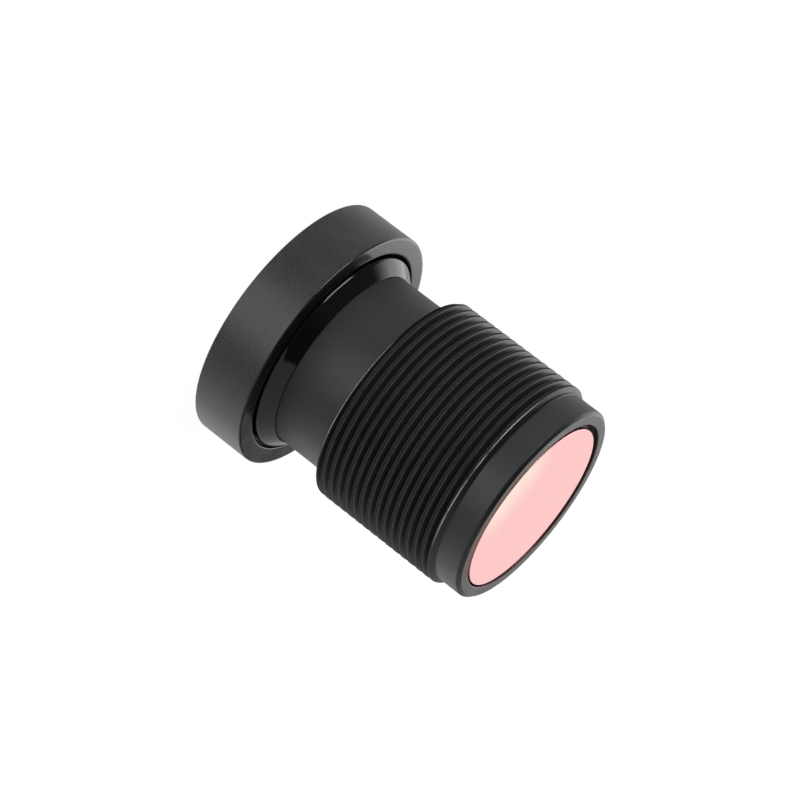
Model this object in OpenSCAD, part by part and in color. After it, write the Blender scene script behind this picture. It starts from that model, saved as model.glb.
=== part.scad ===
// Board camera lens with an M12 x 0.5 threaded barrel, standing on its head.
// Millimetres. The optical axis is Z. The origin is the middle of the head's front rim,
// and +Z points to the rear, where the infrared filter closes the barrel.
// The glass is stacked from the head, and the neck is as long as that stack asks for.

/* [Thread and tail] */
// Diameter over the crests of the thread
thread_d = 11.94; // [11:0.01:13]
// Length of the thread, with its end chamfers
thread_len = 7.66; // [5:0.01:9]
// Pitch of the thread
thread_pitch = 0.50; // [0.4:0.05:0.75]
// Depth of the thread
thread_depth = 0.30; // [0.2:0.01:0.34]
// Chamfer at the front end of the thread
thread_front_chamfer = 0.08; // [0.02:0.01:0.2]
// Length of the plain tail behind the thread
tail_len = 1.50; // [1:0.01:3]
// Chamfer on the rear edge of the tail
tail_chamfer = 0.24; // [0.1:0.01:0.4]

/* [Barrel] */
// Step down from the root of the thread to the neck
neck_step = 0.58; // [0.1:0.01:0.7]
// Step down from the neck to the spigot that screws into the head
spigot_step = 0.31; // [0.2:0.01:0.5]
// Wall of the spigot round the bore for the front group
spigot_wall = 0.48; // [0.3:0.01:0.7]
// Step in from the front bore to the inner shoulder
shoulder_step = 0.60; // [0.4:0.01:0.8]
// Wall between the root of the thread and the bore for the rear group
rear_wall = 1.27; // [0.9:0.01:1.6]
// Step out from the rear bore to the thread of the rear retaining ring
ring_bore_step = 0.12; // [0.1:0.01:0.3]
// Step out from that thread to the pocket for the filter
pocket_step = 0.43; // [0.4:0.01:0.5]

/* [Head] */
// Wall of the head round the rear recess
head_wall = 0.965; // [0.6:0.005:2]
// Depth of the recess in the back of the head
recess_depth = 0.68; // [0.5:0.01:1]
// Thickness of the web between the recess and the front seat
web_t = 0.65; // [0.5:0.01:1]
// Radius on the rear outer edge of the head
head_rear_round = 0.13; // [0.05:0.01:0.3]
// Chamfer on the front outer edge of the head
head_front_chamfer = 0.05; // [0.03:0.01:0.3]

/* [Seal ring] */
// Width of the seal ring on the neck
seal_w = 0.71; // [0.5:0.01:0.9]
// Gap between the seal ring and the wall of the recess
seal_gap = 0.20; // [0.05:0.01:0.4]
// Height that the seal ring stands out of the recess
seal_stand = 0.75; // [0.6:0.01:1]
// Width of the lip at the top of the bevel
seal_lip = 0.06; // [0.02:0.01:0.2]
// Radius where the bevel meets the outside of the seal ring
seal_round = 0.16; // [0.05:0.01:0.2]

/* [Front ring] */
// Depth of the face of the front retaining ring inside the head
ring_inset = 0.12; // [0.05:0.01:0.3]
// Width of the face of the front retaining ring
ring_face_w = 0.38; // [0.25:0.01:0.6]
// Distance from that face to the middle of the front glass
glass_inset = 0.18; // [0.05:0.01:0.4]
// Width of the two spanner slots
slot_w = 0.90; // [0.5:0.05:1.5]
// Depth of the two spanner slots
slot_depth = 0.35; // [0.2:0.01:0.5]
// Thickness of the front sealing cord ring
cord_t = 0.33; // [0.25:0.01:0.4]

/* [Element 1] */
// Width of the seat flange
e1_flange_w = 1.02; // [0.8:0.01:1.2]
// Thickness of the seat flange
e1_flange_t = 0.68; // [0.5:0.01:0.9]
// Width of the flat land on the front of the flange
e1_land_w = 0.49; // [0.4:0.01:0.6]
// Width of the flat land on the end of the boss
e1_boss_land_w = 0.27; // [0.15:0.01:0.4]
// Height of the convex front face
e1_front_h = 0.72; // [0.4:0.01:0.9]
// Depth of the concave rear face
e1_rear_h = 1.82; // [1.4:0.01:2]
// Thickness in the middle
e1_t = 0.78; // [0.6:0.01:1.2]

/* [Element 2] */
// Thickness at the edge
e2_edge = 1.33; // [1.1:0.01:1.8]
// Depth of the concave front face
e2_front_h = 0.79; // [0.4:0.01:1]
// Height of the convex rear face
e2_rear_h = 1.22; // [0.8:0.01:1.5]

/* [Aperture] */
// Distance from element 2 to the aperture stop
stop_gap = 0.54; // [0.1:0.01:1]
// Thickness of the aperture stop
stop_t = 0.08; // [0.05:0.01:0.12]
// Hole in the aperture stop
stop_hole_d = 2.70; // [1.5:0.05:3.2]
// Width of the ledge that carries the aperture stop
ledge_w = 0.90; // [0.5:0.05:1.5]
// Length of the cone under that ledge
ledge_len = 0.35; // [0.2:0.01:0.5]
// Distance from the aperture stop to element 3
e3_gap = 0.06; // [0.03:0.01:0.5]

/* [Element 3] */
// Thickness at the edge
e3_edge = 0.60; // [0.4:0.01:0.8]
// Height of each convex face
e3_h = 0.90; // [0.6:0.01:1.1]

/* [Elements 4 and 5] */
// Distance between elements 3 and 4
e4_gap = 0.32; // [0.1:0.01:0.6]
// Thickness of element 4 at the edge
e4_edge = 0.50; // [0.4:0.01:0.8]
// Height of the convex front face of element 4
e4_front_h = 0.78; // [0.5:0.01:1]
// Height of the cemented face
cement_h = 1.67; // [1.2:0.01:2]
// Thickness of element 5 in the middle
e5_t = 0.52; // [0.4:0.01:0.8]
// Depth of the concave rear face of element 5
e5_rear_h = 0.36; // [0.2:0.01:0.5]

/* [Element 6] */
// Distance between elements 5 and 6
e6_gap = 0.17; // [0.1:0.01:0.4]
// Thickness at the edge
e6_edge = 0.50; // [0.4:0.01:0.7]
// Height of the convex front face
e6_front_h = 0.79; // [0.5:0.01:1]
// Height of the convex rear face
e6_rear_h = 0.53; // [0.3:0.01:0.7]
// Length of the rear retaining ring
rear_ring_len = 0.90; // [0.6:0.01:1.2]
// Thread left free behind the rear retaining ring
ring_run = 1.18; // [0.5:0.01:2]

/* [Filter] */
// Thickness of the filter
filter_t = 0.30; // [0.25:0.01:0.8]
// Depth of the filter's face inside the rim
filter_inset = 0.08; // [0.02:0.01:0.4]
// Gap round the filter that the adhesive fills
filter_gap = 0.20; // [0.18:0.01:0.25]
// Distance that the filter sits off centre in that gap
filter_shift = 0.17; // [0:0.01:0.19]
// Direction of that distance round the axis
filter_shift_angle = 55; // [0:5:355]
// Distance that the adhesive stays below the filter's face
adhesive_sink = 0.08; // [0.02:0.01:0.2]

/* [Fits] */
// Radial clearance of an element or spacer in its bore
bore_clear = 0.05; // [0.02:0.01:0.08]
// Radial clearance of a screwed joint
screw_clear = 0.02; // [0.01:0.01:0.05]
// Clearance of the cord ring, the seal ring and the spigot's end
seat_clear = 0.01; // [0.005:0.005:0.03]
// Thickness of a light baffle
baffle_t = 0.06; // [0.03:0.01:0.1]
// Width of the flat land at the edge of an inner element
land_w = 0.55; // [0.4:0.01:0.6]
// Distance that a curved face stays inside the inner shoulder
dome_clear = 0.10; // [0.05:0.01:0.2]

/* [Hidden] */
$fn = 128;
LENS_FN = 256;
CORD_FN = 48;
EPS = 0.01;
FLANK_ANGLE = 30;
LEAD_ANGLE = 40;

// Radii of the barrel, from the thread inwards.
crest_r = thread_d / 2;
root_r = crest_r - thread_depth;
neck_r = root_r - neck_step;
spigot_r = neck_r - spigot_step;
front_bore_r = spigot_r - spigot_wall;
shoulder_r = front_bore_r - shoulder_step;
rear_bore_r = root_r - rear_wall;
ring_bore_r = rear_bore_r + ring_bore_step;
pocket_r = ring_bore_r + pocket_step;
filter_r = pocket_r - filter_gap;

// Radii of the head, from the neck outwards.
seal_r = neck_r + seal_w;
recess_r = seal_r + seal_gap;
head_r = recess_r + head_wall;

// Radii of the glass and of what holds it.
// The moulded boss of element 1 gets half a clearance more than the ground elements.
front_r = front_bore_r - bore_clear;
front_clear_r = front_r - land_w;
rear_r = rear_bore_r - bore_clear;
rear_clear_r = rear_r - land_w;
dome_r = shoulder_r - dome_clear;
e1_boss_r = front_r - bore_clear / 2;
e1_boss_clear_r = e1_boss_r - e1_boss_land_w;
e1_r = e1_boss_r + e1_flange_w;
e1_clear_r = e1_r - e1_land_w;
ring_thread_r = e1_r + cord_t + 2 * seat_clear;
ring_r = ring_thread_r - screw_clear;

// Heights in the head, from its front rim.
glass_z = ring_inset + glass_inset;
ring_end_z = glass_z + e1_front_h;
cord_seat_z = ring_end_z + cord_t + seat_clear;
seat_z = ring_end_z + e1_flange_t;
neck_z = seat_z + web_t;
head_len = neck_z + recess_depth;

// Heights of the front group, from element 1 to the inner shoulder.
e1_rear_z = glass_z + e1_t + e1_rear_h;
e2_z = e1_rear_z + baffle_t;
spacer_1_z = e2_z + e2_edge;
stop_z = spacer_1_z + e2_rear_h + stop_gap;
spacer_2_z = stop_z + stop_t;
e3_z = spacer_2_z + e3_gap + e3_h;
baffle_2_z = e3_z + e3_edge;
shoulder_z = baffle_2_z + baffle_t;

// Heights of the rear group, from the inner shoulder to the rear rim.
e4_z = baffle_2_z + e3_h + e4_gap + e4_front_h;
e5_z = e4_z + e4_edge;
spacer_3_z = e5_z + cement_h + e5_t + e5_rear_h;
e6_z = spacer_3_z - e5_rear_h + e6_gap + e6_front_h;
baffle_3_z = e6_z + e6_edge;
rear_ring_z = baffle_3_z + baffle_t;
rear_ring_end_z = rear_ring_z + rear_ring_len;
pocket_z = rear_ring_end_z + ring_run;
rear_z = pocket_z + filter_t + filter_inset;

// Heights of the outside of the barrel.
tail_z = rear_z - tail_len;
thread_z = tail_z - thread_len;

// Thread form: the flanks lean 30 degrees each and meet in a sharp root.
// Behind the last groove the thread runs down to the tail in a steeper lead.
groove_w = 2 * thread_depth * tan(FLANK_ANGLE);
crest_from = thread_z + thread_front_chamfer;
crest_to = tail_z - thread_depth * tan(LEAD_ANGLE);
groove_n = floor((crest_to - crest_from - thread_pitch + groove_w) / thread_pitch);
groove_from = (crest_from + crest_to - (groove_n - 1) * thread_pitch) / 2;

// Section of a plain ring.
module ring_section(r0, r1, z0, z1) {
    translate([r0, z0]) square([r1 - r0, z1 - z0]);
}

// Section of a spherical cap of height h on a base of radius r at z.
// It bulges to +Z when up is 1 and to -Z when it is -1.
module cap_section(r, h, z, up) {
    sphere_r = (r * r + h * h) / (2 * h);
    intersection() {
        translate([0, up > 0 ? z - EPS : z - h]) square([r, h + EPS]);
        translate([0, z + up * (h - sphere_r)]) circle(sphere_r, $fn = LENS_FN);
    }
}

// Outline of the barrel's outside, with the thread as rings of the real pitch and depth.
module barrel_outline() {
    groove = [[crest_r, -groove_w / 2], [root_r, 0], [crest_r, groove_w / 2]];
    polygon(concat(
        [
            [0, seat_z + seat_clear],
            [spigot_r, seat_z + seat_clear],
            [spigot_r, neck_z],
            [neck_r, neck_z],
            [neck_r, thread_z],
            [crest_r - thread_front_chamfer, thread_z],
            [crest_r, crest_from]
        ],
        [
            for (i = [0 : groove_n - 1])
                for (p = groove)
                    [p[0], groove_from + i * thread_pitch + p[1]]
        ],
        [
            [crest_r, crest_to],
            [root_r, tail_z],
            [root_r, rear_z - tail_chamfer],
            [root_r - tail_chamfer, rear_z],
            [0, rear_z]
        ]
    ));
}

// Head: a turned ring with the front seat, the web and the rear recess.
module head() {
    color("#3c3d40")
    rotate_extrude() difference() {
        union() {
            polygon([
                [0, 0],
                [head_r - head_front_chamfer, 0],
                [head_r, head_front_chamfer],
                [head_r, head_len - head_rear_round],
                [0, head_len - head_rear_round]
            ]);
            ring_section(0, head_r - head_rear_round, head_front_chamfer, head_len);
            translate([head_r - head_rear_round, head_len - head_rear_round])
                circle(head_rear_round);
        }
        ring_section(0, ring_thread_r, -EPS, cord_seat_z);
        ring_section(0, e1_r + bore_clear, 0, seat_z);
        ring_section(0, spigot_r + screw_clear, 0, head_len);
        ring_section(0, recess_r, neck_z, head_len + EPS);
    }
}

// Barrel: tail, thread, neck and spigot in one turned piece, bored from both ends.
module barrel() {
    color("#333639")
    rotate_extrude() difference() {
        barrel_outline();
        ring_section(0, front_bore_r, 0, shoulder_z);
        ring_section(0, shoulder_r, 0, rear_z);
        ring_section(0, rear_bore_r, e4_z, rear_z);
        ring_section(0, ring_bore_r, rear_ring_z - EPS, rear_z);
        ring_section(0, pocket_r, pocket_z, rear_z + EPS);
    }
}

// Seal ring: fills the recess round the neck and rises in a 45 degree bevel to the neck.
module seal_ring() {
    inner_r = neck_r + seat_clear;
    tip_z = head_len + seal_stand;
    bevel_z = tip_z - (seal_r - inner_r - seal_lip);
    easing = seal_round * tan(22.5);
    color("#08080a")
    rotate_extrude() union() {
        polygon([
            [inner_r, neck_z],
            [seal_r, neck_z],
            [seal_r, bevel_z - easing],
            [seal_r - easing * cos(45), bevel_z + easing * sin(45)],
            [inner_r + seal_lip, tip_z],
            [inner_r, tip_z]
        ]);
        intersection() {
            translate([seal_r - seal_round, bevel_z - easing]) circle(seal_round);
            ring_section(seal_r - seal_round, seal_r, bevel_z - easing, bevel_z + easing);
        }
    }
}

// Front retaining ring with its conical mouth. One cut across it makes both spanner slots.
module front_retaining_ring() {
    throat_r = e1_clear_r + screw_clear;
    color("#2b2c2e")
    difference() {
        rotate_extrude() polygon([
            [ring_r - ring_face_w, ring_inset],
            [ring_r, ring_inset],
            [ring_r, ring_end_z],
            [throat_r, ring_end_z]
        ]);
        translate([-ring_r - EPS, -slot_w / 2, ring_inset - EPS])
            cube([2 * (ring_r + EPS), slot_w, slot_depth + EPS]);
    }
}

// Front cord ring, squeezed between the head, element 1 and the retaining ring.
module front_o_ring() {
    color("#101012")
    rotate_extrude()
        translate([(e1_r + ring_thread_r) / 2, ring_end_z + (cord_t + seat_clear) / 2])
            circle(cord_t / 2, $fn = CORD_FN);
}

// Element 1: moulded meniscus with a seat flange.
module element_1() {
    color("#a9bccb")
    rotate_extrude() difference() {
        union() {
            ring_section(0, e1_r, ring_end_z, seat_z);
            ring_section(0, e1_boss_r, ring_end_z, e1_rear_z);
            cap_section(e1_clear_r, e1_front_h, ring_end_z, -1);
        }
        cap_section(e1_boss_clear_r, e1_rear_h, e1_rear_z, -1);
    }
}

// Light baffle: a black film washer.
module baffle(r, hole_r, z) {
    color("#141416")
    rotate_extrude() ring_section(hole_r, r, z, z + baffle_t);
}

// Spacer: a plain blackened tube between two lands.
module spacer(r, z0, z1) {
    color("#26272a")
    rotate_extrude() ring_section(r - land_w, r, z0, z1);
}

module baffle_1() {
    baffle(front_r, front_clear_r, e1_rear_z);
}

// Element 2: thick positive meniscus, hollow side to the front.
module element_2() {
    color("#a9bccb")
    rotate_extrude() difference() {
        union() {
            ring_section(0, front_r, e2_z, spacer_1_z);
            cap_section(front_clear_r, e2_rear_h, spacer_1_z, 1);
        }
        cap_section(front_clear_r, e2_front_h, e2_z, 1);
    }
}

// Spacer 1: a tube with a conical inner ledge that carries the aperture stop.
module spacer_1() {
    color("#26272a")
    rotate_extrude() polygon([
        [front_clear_r, spacer_1_z],
        [front_r, spacer_1_z],
        [front_r, stop_z],
        [front_clear_r - ledge_w, stop_z],
        [front_clear_r, stop_z - ledge_len]
    ]);
}

// Aperture stop: a thin blackened disc with the sharp-edged hole.
module aperture_stop() {
    color("#1a1b1d")
    rotate_extrude() ring_section(stop_hole_d / 2, front_r, stop_z, spacer_2_z);
}

module spacer_2() {
    spacer(front_r, spacer_2_z, e3_z);
}

// Element 3: biconvex, seated on the inner shoulder.
module element_3() {
    color("#a9bccb")
    rotate_extrude() union() {
        ring_section(0, front_r, e3_z, baffle_2_z);
        cap_section(front_clear_r, e3_h, e3_z, -1);
        cap_section(dome_r, e3_h, baffle_2_z, 1);
    }
}

module baffle_2() {
    baffle(front_r, dome_r, baffle_2_z);
}

// Element 4: biconvex, seated on the other side of the inner shoulder.
module element_4() {
    color("#a9bccb")
    rotate_extrude() union() {
        ring_section(0, rear_r, e4_z, e5_z);
        cap_section(dome_r, e4_front_h, e4_z, -1);
        cap_section(rear_r, cement_h, e5_z, 1);
    }
}

// Element 5: biconcave, cemented to element 4.
module element_5() {
    color("#b4c3cf")
    rotate_extrude() difference() {
        ring_section(0, rear_r, e5_z, spacer_3_z);
        cap_section(rear_r, cement_h, e5_z, 1);
        cap_section(rear_clear_r, e5_rear_h, spacer_3_z, -1);
    }
}

module spacer_3() {
    spacer(rear_r, spacer_3_z, e6_z);
}

// Element 6: biconvex field element.
module element_6() {
    color("#a9bccb")
    rotate_extrude() union() {
        ring_section(0, rear_r, e6_z, baffle_3_z);
        cap_section(rear_clear_r, e6_front_h, e6_z, -1);
        cap_section(rear_clear_r, e6_rear_h, baffle_3_z, 1);
    }
}

module baffle_3() {
    baffle(rear_r, rear_clear_r, baffle_3_z);
}

// Rear retaining ring, screwed into the barrel behind element 6.
module rear_retaining_ring() {
    outer_r = ring_bore_r - screw_clear;
    color("#2b2c2e")
    rotate_extrude() polygon([
        [rear_clear_r, rear_ring_z],
        [outer_r, rear_ring_z],
        [outer_r, rear_ring_end_z],
        [outer_r - ring_face_w, rear_ring_end_z]
    ]);
}

// Where the filter lies on the floor of its pocket, a little off centre.
module at_filter() {
    rotate([0, 0, filter_shift_angle])
        translate([filter_shift, 0, pocket_z])
            children();
}

// Infrared-cut filter: a coated disc.
module ir_filter() {
    color("#f2c0bd")
    at_filter() cylinder(r = filter_r, h = filter_t);
}

// Adhesive that fills the gap round the filter.
module filter_adhesive() {
    color("#1d0b0e")
    difference() {
        translate([0, 0, pocket_z]) cylinder(r = pocket_r, h = filter_t - adhesive_sink);
        at_filter() translate([0, 0, -EPS]) cylinder(r = filter_r, h = filter_t);
    }
}

head();
barrel();
seal_ring();
front_retaining_ring();
front_o_ring();
element_1();
baffle_1();
element_2();
spacer_1();
aperture_stop();
spacer_2();
element_3();
baffle_2();
element_4();
element_5();
spacer_3();
element_6();
baffle_3();
rear_retaining_ring();
ir_filter();
filter_adhesive();
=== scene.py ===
import math

import bmesh
import bpy
from mathutils import Matrix, Vector


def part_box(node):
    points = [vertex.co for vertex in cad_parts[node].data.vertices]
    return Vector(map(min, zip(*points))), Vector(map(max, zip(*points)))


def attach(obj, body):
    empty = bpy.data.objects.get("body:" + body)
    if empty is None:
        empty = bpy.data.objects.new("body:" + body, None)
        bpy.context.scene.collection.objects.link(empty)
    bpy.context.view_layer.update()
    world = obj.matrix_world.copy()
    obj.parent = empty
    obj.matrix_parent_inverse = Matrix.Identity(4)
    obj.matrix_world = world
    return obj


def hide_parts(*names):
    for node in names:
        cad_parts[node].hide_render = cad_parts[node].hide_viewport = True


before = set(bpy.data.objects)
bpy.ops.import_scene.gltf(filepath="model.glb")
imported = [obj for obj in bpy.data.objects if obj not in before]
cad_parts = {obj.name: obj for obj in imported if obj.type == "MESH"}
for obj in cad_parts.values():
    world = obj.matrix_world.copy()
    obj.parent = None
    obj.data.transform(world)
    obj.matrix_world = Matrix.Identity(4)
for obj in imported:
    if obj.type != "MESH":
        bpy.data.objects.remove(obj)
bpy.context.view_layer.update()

# Outlines are drawn in millimetres, as (radius, height) from the axis and the head's front rim.
MM = 0.001
HOLD = 0.05
EASE_STEPS = 5
ROUND_STEPS = 192
THREAD_STEPS = 180


# Sizes from the frame

def outer_r(node):
    """Outer radius of a turned node."""
    low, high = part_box(node)
    return (high.x - low.x) / 2 / MM


def front_of(node):
    """Height of a node's front end."""
    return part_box(node)[0].z / MM


def rear_of(node):
    """Height of a node's rear end."""
    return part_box(node)[1].z / MM


head_r = outer_r("head")
head_len = rear_of("head")
crest_r = outer_r("barrel")
spigot_z = front_of("barrel")
rear_z = rear_of("barrel")
seal_r = outer_r("seal_ring")
neck_z = front_of("seal_ring")
seal_tip_z = rear_of("seal_ring")
ring_r = outer_r("front_retaining_ring")
ring_z = front_of("front_retaining_ring")
ring_end_z = rear_of("front_retaining_ring")
e1_r = outer_r("element_1")
glass_z = front_of("element_1")
e1_rear_z = rear_of("element_1")
front_bore_r = outer_r("baffle_1") + 0.05
rear_bore_r = outer_r("element_4") + 0.05
shoulder_z = rear_of("baffle_2")
rear_ring_z = front_of("rear_retaining_ring")
pocket_r = outer_r("filter_adhesive")
pocket_z = front_of("filter_adhesive")
filter_r = outer_r("ir_filter")
filter_z = rear_of("ir_filter")
filter_shift = (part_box("ir_filter")[0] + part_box("ir_filter")[1]) / 2 / MM
filter_shift.z = 0

# Sizes that the frame's boxes don't give.
neck_r = 5.09
spigot_r = 4.78
shoulder_r = 3.70
rear_seat_z = 9.69
ring_bore_r = 4.52
recess_r = 6.00
seat_z = 1.70
cord_seat_z = 1.36
ring_thread_r = ring_r + 0.02

# Thread form. A crest crosses the side nearest the camera at crest_z.
pitch = 0.50
thread_depth = 0.30
thread_z = 7.20
tail_z = 14.86
crest_z = 14.07
crest_corner = 0.022
front_chamfer = 0.08
rear_chamfer = 0.252
tail_chamfer = 0.17


# Modelling helpers

def section(bm, outline, closed=True):
    """Lays an outline of (radius, height) points in the plane nearest the camera."""
    verts = [bm.verts.new((0, -r, z)) for r, z in outline]
    edges = [bm.edges.new(pair) for pair in zip(verts, verts[1:])]
    if closed:
        edges.append(bm.edges.new((verts[-1], verts[0])))
    return verts + edges


def eased(outline):
    """Rounds the corners of an outline that carry a third number, the length taken off each side."""
    points = []
    for before, here, after in zip(outline[-1:] + outline[:-1], outline, outline[1:] + outline[:1]):
        if len(here) == 2:
            points.append(here)
            continue
        corner = Vector(here[:2])
        start = corner + (Vector(before[:2]) - corner).normalized() * here[2]
        end = corner + (Vector(after[:2]) - corner).normalized() * here[2]
        for i in range(EASE_STEPS + 1):
            t = i / EASE_STEPS
            points.append(tuple(start.lerp(corner, t).lerp(corner.lerp(end, t), t)))
    return points


def held(outline, closed=False):
    """Adds a point near each end of every long stretch, so that flats shade flat up to their edges."""
    outline = eased(outline)
    ends = outline[1:] + (outline[:1] if closed else [])
    points = []
    for (r0, z0), (r1, z1) in zip(outline, ends):
        points.append((r0, z0))
        length = math.hypot(r1 - r0, z1 - z0)
        if length > 3 * HOLD:
            for t in (HOLD / length, 1 - HOLD / length):
                points.append((r0 + (r1 - r0) * t, z0 + (z1 - z0) * t))
    return points if closed else points + outline[-1:]


def turned(outline, closed=True, steps=ROUND_STEPS):
    """A mesh turned from an outline. An open outline starts and ends on the axis."""
    bm = bmesh.new()
    bmesh.ops.spin(
        bm, geom=section(bm, held(outline, closed), closed), cent=(0, 0, 0), axis=(0, 0, 1),
        dvec=(0, 0, 0), angle=2 * math.pi, steps=steps, use_merge=True, use_duplicate=False,
    )
    bmesh.ops.remove_doubles(bm, verts=bm.verts, dist=0.0001)
    bmesh.ops.recalc_face_normals(bm, faces=bm.faces)
    return bm


def cut_across(bm, width, low, high):
    """Cuts a straight channel of the given width along X, between two heights."""
    block = bmesh.new()
    bmesh.ops.create_cube(block, size=1)
    bmesh.ops.scale(block, vec=(4 * head_r, width, high - low), verts=block.verts)
    bmesh.ops.translate(block, vec=(0, 0, (low + high) / 2), verts=block.verts)
    made = []
    for shape in (bm, block):
        mesh = bpy.data.meshes.new("cut")
        shape.to_mesh(mesh)
        made.append(bpy.data.objects.new("cut", mesh))
        bpy.context.scene.collection.objects.link(made[-1])
    cutter = made[0].modifiers.new("channel", "BOOLEAN")
    cutter.operation = "DIFFERENCE"
    cutter.object = made[1]
    result = made[0].evaluated_get(bpy.context.evaluated_depsgraph_get())
    block.free()
    bm.clear()
    bm.from_mesh(result.to_mesh())
    result.to_mesh_clear()
    for done in made:
        bpy.data.objects.remove(done)


def cap(edge_r, edge_z, height, count=24):
    """Points of a spherical face from its edge to the axis. It bulges to +Z where height is positive."""
    ball_r = (edge_r ** 2 + height ** 2) / (2 * abs(height))
    centre_z = edge_z + height - math.copysign(ball_r, height)
    points = []
    for i in range(count + 1):
        r = edge_r * (1 - i / count)
        points.append((r, centre_z + math.copysign(math.sqrt(ball_r ** 2 - r ** 2), height)))
    return points


def piece(name, bm, material, slot, *nodes, sharp=32):
    """Ends a mesh in metres, with hard edges above the sharp angle, as a piece that replaces CAD nodes."""
    bmesh.ops.scale(bm, vec=(MM, MM, MM), verts=bm.verts)
    for face in bm.faces:
        face.smooth = True
    for edge in bm.edges:
        edge.smooth = edge.calc_face_angle(0) < math.radians(sharp)
    mesh = bpy.data.meshes.new(name)
    bm.to_mesh(mesh)
    bm.free()
    mesh.materials.append(material)
    made = bpy.data.objects.new(name, mesh)
    bpy.context.scene.collection.objects.link(made)
    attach(made, "root")
    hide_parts(*nodes)
    return made


# Shader helpers

class Value:
    """A number carried by a socket. Sums on it add Math nodes."""

    def __init__(self, tree, socket):
        self.tree = tree
        self.socket = socket

    def sum(self, operation, a, b=None):
        return self.tree.node("ShaderNodeMath", {"operation": operation}, {0: a, 1: b})

    def __add__(self, other):
        return self.sum("ADD", self, other)

    def __radd__(self, other):
        return self.sum("ADD", other, self)

    def __sub__(self, other):
        return self.sum("SUBTRACT", self, other)

    def __rsub__(self, other):
        return self.sum("SUBTRACT", other, self)

    def __mul__(self, other):
        return self.sum("MULTIPLY", self, other)

    def __rmul__(self, other):
        return self.sum("MULTIPLY", other, self)

    def __pow__(self, other):
        return self.sum("POWER", self, other)


class Tree:
    """A node tree that is written as expressions."""

    def __init__(self, node_tree):
        self.nodes = node_tree.nodes
        self.links = node_tree.links
        self.nodes.clear()

    def feed(self, socket, value):
        if isinstance(value, Value):
            self.links.new(value.socket, socket)
        elif value is not None:
            socket.default_value = value

    def node(self, kind, settings=None, sockets=None, out=0):
        """Adds a node, with its settings first and then the values or links of its sockets."""
        made = self.nodes.new(kind)
        for name, value in (settings or {}).items():
            if name == "stops":
                ramp = made.color_ramp
                for i, (place, shade) in enumerate(value):
                    stop = ramp.elements[i] if i < 2 else ramp.elements.new(place)
                    stop.position = place
                    stop.color = (shade, shade, shade, 1)
            else:
                setattr(made, name, value)
        for name, value in (sockets or {}).items():
            self.feed(made.inputs[name], value)
        return Value(self, made.outputs[out]) if len(made.outputs) else made

    def millimetres(self):
        """Object coordinates, counted in millimetres."""
        place = self.node("ShaderNodeTexCoord", out="Object")
        return self.node("ShaderNodeMapping", {}, {"Vector": place, "Scale": (1 / MM, 1 / MM, 1 / MM)})

    def axes(self, vector):
        """The three numbers of a vector."""
        self.node("ShaderNodeSeparateXYZ", {}, {0: vector})
        split = self.nodes[-1]
        return [Value(self, output) for output in split.outputs]

    def radius(self, x, y):
        """Distance from the lens axis."""
        return (x * x + y * y) ** 0.5

    def noise(self, vector, size, detail=2.0, roughness=0.5):
        """Noise from 0 to 1, with lumps of about the given size."""
        return self.node(
            "ShaderNodeTexNoise", {},
            {"Vector": vector, "Scale": 1 / size, "Detail": detail, "Roughness": roughness},
        )

    def ramp(self, value, low, high, smooth=True):
        """Goes from 0 to 1 as value goes from low to high."""
        kind = "SMOOTHSTEP" if smooth else "LINEAR"
        return self.node(
            "ShaderNodeMapRange", {"interpolation_type": kind},
            {"Value": value, "From Min": low, "From Max": high},
        )

    def line(self, value, middle, half_width):
        """1 where value is at the middle, going to 0 at the half width."""
        away = self.node("ShaderNodeMath", {"operation": "ABSOLUTE"}, {0: value - middle})
        return self.ramp(away, half_width, 0.4 * half_width)

    def blend(self, factor, a, b):
        """Colour a, going to colour b where factor is 1."""
        return self.node("ShaderNodeMix", {"data_type": "RGBA"}, {0: factor, 6: a, 7: b}, out=2)

    def bump(self, height, distance, strength=1.0):
        """A normal from a height in millimetres."""
        return self.node(
            "ShaderNodeBump", {}, {"Strength": strength, "Distance": distance * MM, "Height": height}
        )

    def surface(self, **sockets):
        """Ends the tree in one Principled shader."""
        named = {name.replace("_", " "): value for name, value in sockets.items()}
        shader = self.node("ShaderNodeBsdfPrincipled", {}, named)
        self.node("ShaderNodeOutputMaterial", {}, {"Surface": shader})
        return shader


def grey(level, warm=0.0, cool=0.0):
    """A near-neutral colour, with a little red or blue in it."""
    return (level * (1 + warm), level, level * (1 + cool), 1)


def new_material(name):
    made = bpy.data.materials.new(name)
    made.use_nodes = True
    return made, Tree(made.node_tree)


# Finishes

def blasted_black():
    """Fine-blasted, black-anodised aluminium: a soft sheen with small bright grains, smoother on the back."""
    made, tree = new_material("blasted_black")
    place = tree.millimetres()
    grain = tree.noise(place, 0.09, 3.0, 0.6)
    cloud = tree.noise(place, 1.4, 2.0)
    tone = tree.ramp(grain * 0.7 + cloud * 0.3, 0.35, 0.68)
    z = tree.axes(place)[2]
    back = tree.ramp(z, head_len - 0.16, head_len - 0.06)
    tree.surface(
        Base_Color=tree.blend(tone * (1 - 0.5 * back), grey(0.008), grey(0.029)),
        Roughness=tree.ramp(cloud, 0.2, 0.8) * 0.05 + 0.28 - 0.14 * back,
        IOR=1.60,
        Normal=tree.bump((grain - 0.5) * (1 - 0.85 * back), 0.012),
    )
    return made


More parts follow.
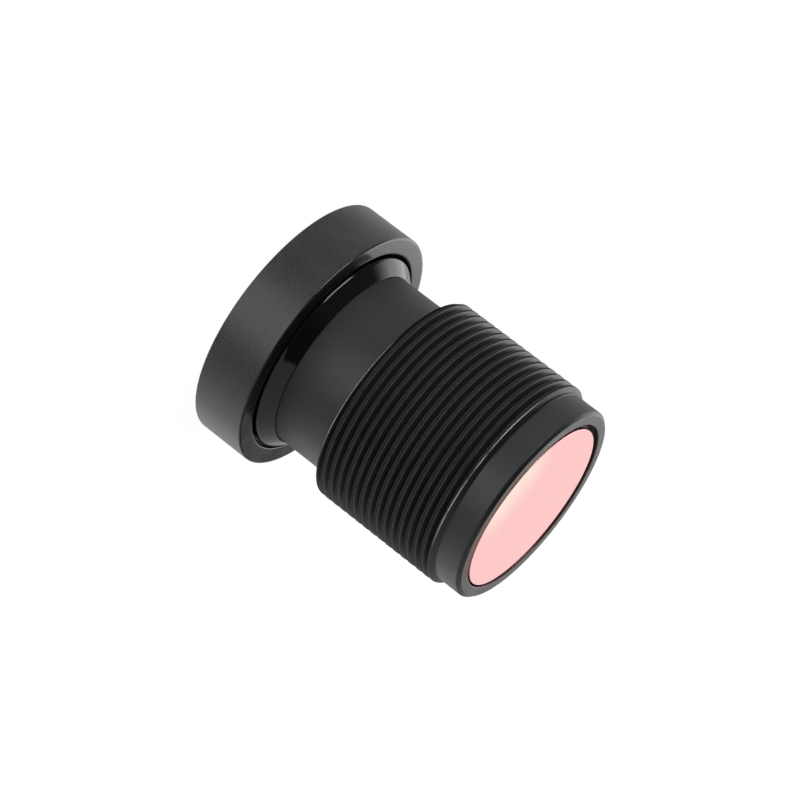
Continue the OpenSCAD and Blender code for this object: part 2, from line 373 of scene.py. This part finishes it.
def turned_black():
    """Turned, black-anodised aluminium: tool rings, lighter crest corners that are partly wear and partly
    painted highlight (rear-facing corners painted lighter still), painted glint lines on the thread's end
    edges, a stain at the filter and a painted pink reflection on the rim beside it.
    """
    made, tree = new_material("turned_black")
    place = tree.millimetres()
    x, y, z = tree.axes(place)
    r = tree.radius(x, y)
    rings = tree.node(
        "ShaderNodeTexNoise", {"noise_dimensions": "1D"}, {"W": z + r * 1.7, "Scale": 28.0, "Detail": 3.0}
    )
    cloud = tree.noise(place, 0.9, 2.0)
    grain = tree.noise(place, 0.05, 2.0)
    crest = tree.ramp(r, crest_r - 0.005, crest_r - 0.002)
    # Crest corners are painted lighter: partly wear, partly a painted highlight.
    corner = tree.ramp(r, crest_r - 0.035, crest_r - 0.015) * (1 - crest)
    facing = tree.axes(tree.node("ShaderNodeTexCoord", out="Normal"))[2]
    # Painted light: crest corners that face the rear are painted lighter, as light falls on them.
    lit_rear_corner = tree.ramp(r, crest_r - 0.06, crest_r - 0.035) * (1 - crest) * tree.ramp(facing, 0.1, 0.5)
    near = tree.ramp(y, -3.6, -5.2)
    rear_line = tree.ramp(r, crest_r - 0.07, crest_r - 0.05) * tree.line(z, tail_z - rear_chamfer + 0.01, 0.025)
    front_line = tree.ramp(r, crest_r - 0.20, crest_r - 0.15) * tree.line(z, thread_z + 0.01, 0.035)
    # Painted highlight: bright glint lines along the thread's rear and front end edges, kept to the side toward
    # the camera.
    painted_edge_glint = near * (rear_line * tree.ramp(cloud, 0.2, 0.5) + front_line * tree.ramp(x, -2.9, -1.9) * 0.6)
    at_end = tree.ramp(z, rear_z - 0.15, rear_z - 0.02)
    stain = at_end * tree.ramp(r, pocket_r + 0.09, pocket_r + 0.02)
    # Painted reflection: a warm pink glow painted on the rim next to the filter, on the side toward the camera.
    painted_rim_reflection = at_end * tree.ramp(r, pocket_r + 0.50, pocket_r + 0.30) * tree.ramp(y - 0.45 * x, -3.0, -4.5)
    body = tree.blend(crest, (0.0115, 0.0130, 0.0150, 1), grey(0.003))
    body = tree.blend(corner * tree.ramp(cloud, 0.1, 0.6), body, grey(0.05))
    body = tree.blend(lit_rear_corner * tree.ramp(cloud, 0.1, 0.6), body, grey(0.085))
    body = tree.blend(painted_rim_reflection, body, (0.21, 0.070, 0.020, 1))
    body = tree.blend(stain, body, (0.10, 0.045, 0.035, 1))
    tree.surface(
        Base_Color=tree.blend(painted_edge_glint, body, grey(0.65)),
        Roughness=tree.ramp(cloud, 0.2, 0.8) * 0.06 + 0.39 + 0.45 * crest - 0.10 * at_end + 0.15 * painted_rim_reflection
        + 0.16 * tree.ramp(z, 6.4, 4.0),
        IOR=1.55,
        Normal=tree.bump(rings * 0.7 + grain * 0.3, 0.004),
    )
    return made


def inner_black():
    """Matt black inside the lens."""
    made, tree = new_material("inner_black")
    place = tree.millimetres()
    grain = tree.noise(place, 0.06, 2.0)
    tree.surface(
        Base_Color=tree.blend(grain, grey(0.006), grey(0.014)),
        Roughness=grain * 0.1 + 0.55,
        Normal=tree.bump(grain, 0.006),
    )
    return made


def seal_rubber():
    """Moulded black elastomer with the gloss of a polished mould."""
    made, tree = new_material("seal_rubber")
    place = tree.millimetres()
    ripple = tree.noise(place, 0.8, 2.0)
    dust = tree.noise(place, 0.06, 1.0)
    tree.surface(
        Base_Color=tree.blend(dust, grey(0.002), grey(0.005)),
        Roughness=tree.ramp(dust, 0.55, 0.8) * 0.05 + 0.07,
        IOR=1.52,
        Normal=tree.bump(ripple, 0.004),
    )
    return made


def cord_rubber():
    """Black cord rubber, slightly dull."""
    made, tree = new_material("cord_rubber")
    dust = tree.noise(tree.millimetres(), 0.05, 2.0)
    tree.surface(
        Base_Color=tree.blend(dust, grey(0.006), grey(0.015)),
        Roughness=dust * 0.15 + 0.35,
        Normal=tree.bump(dust, 0.003),
    )
    return made


def black_film():
    """Black polyester film."""
    made, tree = new_material("film")
    dust = tree.noise(tree.millimetres(), 0.09, 2.0)
    tree.surface(
        Base_Color=tree.blend(dust, grey(0.006), grey(0.013)),
        Roughness=dust * 0.12 + 0.42,
    )
    return made


def stop_steel():
    """Thin steel with a black oxide."""
    made, tree = new_material("stop_steel")
    cloud = tree.noise(tree.millimetres(), 0.4, 3.0)
    tree.surface(
        Base_Color=tree.blend(cloud, grey(0.03), grey(0.07, cool=0.1)),
        Metallic=0.8,
        Roughness=cloud * 0.15 + 0.35,
    )
    return made


def edge_adhesive():
    """Dark maroon-black adhesive with a cured skin."""
    made, tree = new_material("adhesive")
    place = tree.millimetres()
    lumps = tree.noise(place, 0.35, 2.0)
    tree.surface(
        Base_Color=tree.blend(lumps, (0.022, 0.003, 0.004, 1), (0.048, 0.008, 0.009, 1)),
        Roughness=lumps * 0.15 + 0.45,
        IOR=1.35,
        Normal=tree.bump(lumps, 0.02),
    )
    return made


def coated_glass():
    """Optical glass with a thin antireflection layer."""
    made, tree = new_material("coated_glass")
    haze = tree.noise(tree.millimetres(), 0.5, 3.0)
    tree.surface(
        Base_Color=(1, 1, 1, 1),
        Roughness=tree.ramp(haze, 0.6, 0.9) * 0.01,
        IOR=1.60,
        Transmission_Weight=1.0,
        Thin_Film_Thickness=118.0,
        Thin_Film_IOR=1.38,
    )
    return made


def filter_glass():
    """Glass disc with an infrared-cut coating, which mirrors pink, with a painted pale reflection on the side
    toward the camera.
    """
    made, tree = new_material("filter_glass")
    place = tree.millimetres()
    x, y, z = tree.axes(place)
    haze = tree.noise(place, 1.2, 2.0)
    across = tree.node("ShaderNodeMath", {"operation": "ABSOLUTE"}, {0: x})
    # Painted reflection: the coating's colour is painted paler, a cream patch on the side toward the camera.
    painted_pale_reflection = tree.ramp(y, -1.4, -4.2) * tree.ramp(across, 3.4, 1.0)
    pink = tree.blend(haze, (0.90, 0.425, 0.420, 1), (0.90, 0.445, 0.435, 1))
    clear = tree.node(
        "ShaderNodeBsdfPrincipled", {},
        {"Base Color": (0.80, 0.95, 0.97, 1), "Roughness": 0.0, "IOR": 1.02, "Transmission Weight": 1.0},
    )
    coat = tree.node(
        "ShaderNodeBsdfPrincipled", {},
        {
            "Base Color": tree.blend(painted_pale_reflection, pink, (0.90, 0.65, 0.56, 1)),
            "Metallic": 1.0,
            "Roughness": haze * 0.02 + 0.03,
        },
    )
    grazing = tree.node("ShaderNodeLayerWeight", {}, {"Blend": 0.35}, out="Facing")
    share = tree.ramp(grazing, 0.0, 0.7) * 0.50 + 0.48
    both = tree.node("ShaderNodeMixShader", {}, {0: share, 1: clear, 2: coat})
    tree.node("ShaderNodeOutputMaterial", {}, {"Surface": both})
    return made


def floor_paper():
    """Pale floor that stays almost free of shadow."""
    made, tree = new_material("floor_paper")
    fibre = tree.noise(tree.millimetres(), 4.0, 3.0)
    tree.surface(
        Base_Color=tree.blend(fibre, grey(0.15), grey(0.17)),
        Roughness=0.9,
        Emission_Color=(1, 1, 1, 1),
        Emission_Strength=0.95,
    )
    return made


finishes = {
    "blasted_black": blasted_black(),
    "turned_black": turned_black(),
    "inner_black": inner_black(),
    "seal_rubber": seal_rubber(),
    "cord_rubber": cord_rubber(),
    "coated_glass": coated_glass(),
    "filter_glass": filter_glass(),
    "stop_steel": stop_steel(),
    "film": black_film(),
    "adhesive": edge_adhesive(),
}


# Pieces

def head():
    """Head: turned and blasted, with the front seat, the web and the rear recess."""
    bm = turned([
        (ring_thread_r, 0, 0.05),
        (head_r, 0, 0.08),
        (head_r, head_len, 0.10),
        (recess_r, head_len, 0.05),
        (recess_r, neck_z),
        (spigot_r + 0.02, neck_z),
        (spigot_r + 0.02, seat_z),
        (e1_r + 0.05, seat_z),
        (e1_r + 0.05, cord_seat_z),
        (ring_thread_r, cord_seat_z),
    ])
    return piece("head_ring", bm, finishes["blasted_black"], "blasted_black", "head")


def pitch_profile(root_z):
    """One pitch of the thread, from one root to the next, with eased crest corners."""
    half_groove = thread_depth * math.tan(math.radians(30))
    flank = [(crest_r - thread_depth * (1 - t), half_groove * t) for t in (0, 0.25, 0.5, 0.75)]
    ease_z = crest_corner * math.sin(math.radians(30))
    ease_r = crest_corner * math.cos(math.radians(30))
    flank += [
        (crest_r - ease_r, half_groove - ease_z),
        (crest_r - ease_r * 0.27, half_groove + ease_z * 0.1),
        (crest_r, half_groove + ease_z * 1.2),
    ]
    far_flank = [(r, pitch - z) for r, z in reversed(flank)]
    return [(r, root_z + z) for r, z in flank + far_flank]


def thread_limit(z):
    """Radius that the chamfers at the two ends leave to the thread."""
    front = crest_r - front_chamfer + (z - thread_z)
    rear = crest_r - thread_depth * (z - tail_z + rear_chamfer) / rear_chamfer
    return min(crest_r, front, rear)


def thread(bm):
    """The helical thread, trimmed to its length and chamfered at both ends."""
    below = math.ceil((crest_z - thread_z) / pitch) + 1
    first_root = crest_z - pitch / 2 - below * pitch
    bmesh.ops.spin(
        bm, geom=section(bm, pitch_profile(first_root), closed=False), cent=(0, 0, 0), axis=(0, 0, 1),
        dvec=(0, 0, pitch / THREAD_STEPS), angle=2 * math.pi, steps=THREAD_STEPS,
        use_merge=False, use_duplicate=False,
    )
    turn = bm.verts[:] + bm.edges[:] + bm.faces[:]
    for i in range(1, math.ceil((tail_z - first_root) / pitch)):
        copy = bmesh.ops.duplicate(bm, geom=turn)["geom"]
        verts = [v for v in copy if isinstance(v, bmesh.types.BMVert)]
        bmesh.ops.translate(bm, vec=(0, 0, i * pitch), verts=verts)
    bmesh.ops.remove_doubles(bm, verts=bm.verts, dist=0.001)
    cuts = [
        (thread_z, True, False),
        (thread_z + front_chamfer, False, False),
        (tail_z - rear_chamfer, False, False),
        (tail_z - rear_chamfer / 2, False, False),
        (tail_z, False, True),
    ]
    for z, clear_below, clear_above in cuts:
        bmesh.ops.bisect_plane(
            bm, geom=bm.verts[:] + bm.edges[:] + bm.faces[:], dist=0.00001, plane_co=(0, 0, z),
            plane_no=(0, 0, 1), clear_inner=clear_below, clear_outer=clear_above,
        )
    for vert in bm.verts:
        set_radius(vert, min(thread_limit(vert.co.z), math.hypot(vert.co.x, vert.co.y)))


def set_radius(vert, r):
    """Moves a vertex along its own radius."""
    share = r / math.hypot(vert.co.x, vert.co.y)
    vert.co.x *= share
    vert.co.y *= share


def open_loop(bm, z):
    """The open edges at a height."""
    return [e for e in bm.edges if e.is_boundary and all(abs(v.co.z - z) < 0.0005 for v in e.verts)]


def carry_on(bm, loop, outline):
    """Extrudes an open loop along an outline, from its first point, and returns the loop at its end."""
    for r, z in held(outline)[1:]:
        grown = bmesh.ops.extrude_edge_only(bm, edges=loop)["geom"]
        for vert in grown:
            if isinstance(vert, bmesh.types.BMVert):
                set_radius(vert, r)
                vert.co.z = z
        loop = [e for e in grown if isinstance(e, bmesh.types.BMEdge) and e.is_boundary]
    return loop


def barrel():
    """Barrel: the helical thread, carried on to the tail and the neck and bored from both ends."""
    bm = bmesh.new()
    thread(bm)
    root_r = crest_r - thread_depth
    front_loop = open_loop(bm, thread_z)
    rear_loop = open_loop(bm, tail_z)
    front_end = carry_on(bm, front_loop, [
        (crest_r - front_chamfer, thread_z),
        (neck_r, thread_z),
        (neck_r, neck_z),
        (spigot_r, neck_z),
        (spigot_r, spigot_z),
        (front_bore_r, spigot_z),
        (front_bore_r, shoulder_z),
        (shoulder_r, shoulder_z),
    ])
    rear_end = carry_on(bm, rear_loop, [
        (root_r, tail_z),
        (root_r, rear_z - tail_chamfer, 0.03),
        (root_r - tail_chamfer, rear_z, 0.03),
        (pocket_r, rear_z, 0.04),
        (pocket_r, pocket_z),
        (ring_bore_r, pocket_z),
        (ring_bore_r, rear_ring_z),
        (rear_bore_r, rear_ring_z),
        (rear_bore_r, rear_seat_z),
        (shoulder_r, rear_seat_z),
    ])
    bmesh.ops.bridge_loops(bm, edges=front_end + rear_end)
    bmesh.ops.recalc_face_normals(bm, faces=bm.faces)
    return piece("threaded_barrel", bm, finishes["turned_black"], "turned_black", "barrel", sharp=40)


def seal_ring():
    """Seal ring: glossy, with the 45 degree bevel up to the neck."""
    inner_r = neck_r + 0.01
    lip = 0.06
    bm = turned([
        (inner_r, neck_z),
        (seal_r, neck_z),
        (seal_r, seal_tip_z - (seal_r - inner_r - lip), 0.10),
        (inner_r + lip, seal_tip_z, 0.02),
        (inner_r, seal_tip_z),
    ])
    return piece("seal_ring_moulded", bm, finishes["seal_rubber"], "seal_rubber", "seal_ring")


def front_retaining_ring():
    """Front retaining ring: a stepped conical mouth against stray light, and two spanner slots."""
    throat_r = 4.775
    face_w = 0.38
    slot_w = 0.90
    slot_depth = 0.35
    steps = 5
    mouth_r = ring_r - face_w
    outline = [(ring_r, ring_end_z), (ring_r, ring_z, 0.03), (mouth_r, ring_z, 0.03)]
    for i in range(1, steps + 1):
        r = mouth_r + (throat_r - mouth_r) * i / steps
        z = ring_z + (ring_end_z - ring_z) * i / steps
        outline += [(outline[-1][0], z - 0.02), (r, z)]
    bm = turned(outline)
    cut_across(bm, slot_w, ring_z - 0.1, ring_z + slot_depth)
    return piece("front_ring_turned", bm, finishes["inner_black"], "inner_black", "front_retaining_ring")


def element_1():
    """Front glass: a domed face, a flange that the ring holds and a deep hollow behind."""
    land = 0.49
    clear_r = e1_r - land
    boss_r = front_bore_r - 0.075
    boss_clear_r = boss_r - 0.27
    front = cap(clear_r, ring_end_z, glass_z - ring_end_z)
    hollow = cap(boss_clear_r, e1_rear_z, -1.82)
    outline = list(reversed(front)) + [
        (e1_r, ring_end_z),
        (e1_r, seat_z),
        (boss_r, seat_z),
        (boss_r, e1_rear_z),
    ] + hollow
    bm = turned(outline, closed=False)
    return piece("front_glass", bm, finishes["coated_glass"], "coated_glass", "element_1")


def ir_filter():
    """Infrared-cut filter: a disc with finely broken edges, a little off centre."""
    outline = [(0, pocket_z), (filter_r, pocket_z, 0.03), (filter_r, filter_z, 0.03), (0, filter_z)]
    bm = turned(outline, closed=False)
    bmesh.ops.translate(bm, vec=filter_shift, verts=bm.verts)
    return piece("filter_disc", bm, finishes["filter_glass"], "filter_glass", "ir_filter")


def filter_adhesive():
    """Adhesive between the filter, which lies off centre, and the wall of its pocket."""
    top = rear_of("filter_adhesive")
    wall_r = pocket_r - 0.002
    bm = turned([
        (filter_r, pocket_z),
        (wall_r, pocket_z),
        (wall_r, top - 0.02),
        (filter_r + 0.10, top - 0.17),
        (filter_r, top - 0.12),
    ])
    for vert in bm.verts:
        share = (wall_r - math.hypot(vert.co.x, vert.co.y)) / (wall_r - filter_r)
        vert.co += filter_shift * share
    return piece("adhesive_bead", bm, finishes["adhesive"], "adhesive", "filter_adhesive")


def inner_nodes():
    """The inner pieces keep their CAD shapes and take their finishes."""
    wanted = {
        "front_o_ring": "cord_rubber",
        "aperture_stop": "stop_steel",
        "rear_retaining_ring": "inner_black",
    }
    for number in range(1, 4):
        wanted[f"baffle_{number}"] = "film"
        wanted[f"spacer_{number}"] = "inner_black"
    for number in range(2, 7):
        wanted[f"element_{number}"] = "coated_glass"
    for node, finish in wanted.items():
        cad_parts[node].material_slots[0].material = finishes[finish]


# Studio

def camera():
    """Camera at the photograph's angle: a long lens, level with the thread, rolled round its own axis."""
    target = Vector((-0.149, 0, 7.44)) * MM
    distance = 165.6 * MM
    elevation = math.radians(18.875)
    roll = math.radians(127.57)
    lens = bpy.data.cameras.new("camera")
    lens.lens = 148.43
    lens.sensor_width = 36
    lens.clip_start = 0.01
    lens.clip_end = 10
    made = bpy.data.objects.new("camera", lens)
    made.matrix_world = (
        Matrix.Translation(target)
        @ Matrix.Rotation(math.pi / 2 - elevation, 4, "X")
        @ Matrix.Rotation(roll, 4, "Z")
        @ Matrix.Translation((0, 0, distance))
    )
    bpy.context.scene.collection.objects.link(made)
    bpy.context.scene.camera = made


def floor():
    """Plain pale floor under the head's front rim."""
    bm = bmesh.new()
    bmesh.ops.create_circle(bm, cap_ends=True, segments=64, radius=1.5)
    mesh = bpy.data.meshes.new("floor")
    bm.to_mesh(mesh)
    bm.free()
    mesh.materials.append(floor_paper())
    made = bpy.data.objects.new("floor", mesh)
    made.visible_glossy = False
    bpy.context.scene.collection.objects.link(made)


def tent_light():
    """White tent: plain white behind the object, and soft light that is brighter on one side."""
    world = bpy.data.worlds.new("tent")
    bpy.context.scene.world = world
    world.use_nodes = True
    tree = Tree(world.node_tree)
    towards = tree.node("ShaderNodeTexCoord", out="Generated")

    def lobe(direction, low, high):
        """1 inside a soft round patch about a direction, and 0 outside it."""
        close = tree.node(
            "ShaderNodeVectorMath", {"operation": "DOT_PRODUCT"},
            {0: towards, 1: Vector(direction).normalized()}, out="Value",
        )
        return tree.ramp(close, low, high)

    x, y, z = tree.axes(towards)
    upper = tree.ramp(z, 0.290, 0.315)
    left = tree.ramp(x, -0.08, -0.35) * (1 - upper) + tree.ramp(x, -0.02, -0.06) * upper * 1.6
    right = tree.ramp(x, 0.06, 0.25) * 0.66 * (1 - upper) + tree.ramp(x, -0.045, -0.015) * 1.08 * upper
    dark = 0.03 + 0.06 * tree.ramp(x, 0.0, -0.35)
    wall = dark + tree.ramp(y, 0.35, 0.75) * (1.1 + 0.5 * left - right)
    side = tree.ramp(x, 0.38, 0.42)
    strip = lobe((-0.68, -0.68, 0.28), 0.975, 0.985) + lobe((-0.87, -0.41, 0.28), 0.975, 0.985)
    room = wall * (1 - side) + 0.45 * side + 5.0 * strip
    table = (
        0.5 + 0.1 * tree.ramp(y, 0.0, 0.8) + 1.2 * lobe((0.17, -0.93, -0.32), 0.83, 0.99)
        + 0.45 * lobe((0.85, 0.40, -0.32), 0.67, 0.98)
    )
    above = tree.ramp(z, -0.10, 0.05)
    tent = table * (1 - above) + room * above
    seen = tree.node("ShaderNodeLightPath", out="Is Camera Ray")
    around = tree.node("ShaderNodeBackground", {}, {"Color": (1, 1, 1, 1), "Strength": tent})
    behind = tree.node("ShaderNodeBackground", {}, {"Color": (1, 1, 1, 1), "Strength": 1.0})
    both = tree.node("ShaderNodeMixShader", {}, {0: seen, 1: around, 2: behind})
    tree.node("ShaderNodeOutputWorld", {}, {"Surface": both})


bpy.context.scene.view_settings.view_transform = "Standard"
camera()
floor()
tent_light()
head()
barrel()
seal_ring()
front_retaining_ring()
element_1()
ir_filter()
filter_adhesive()
inner_nodes()
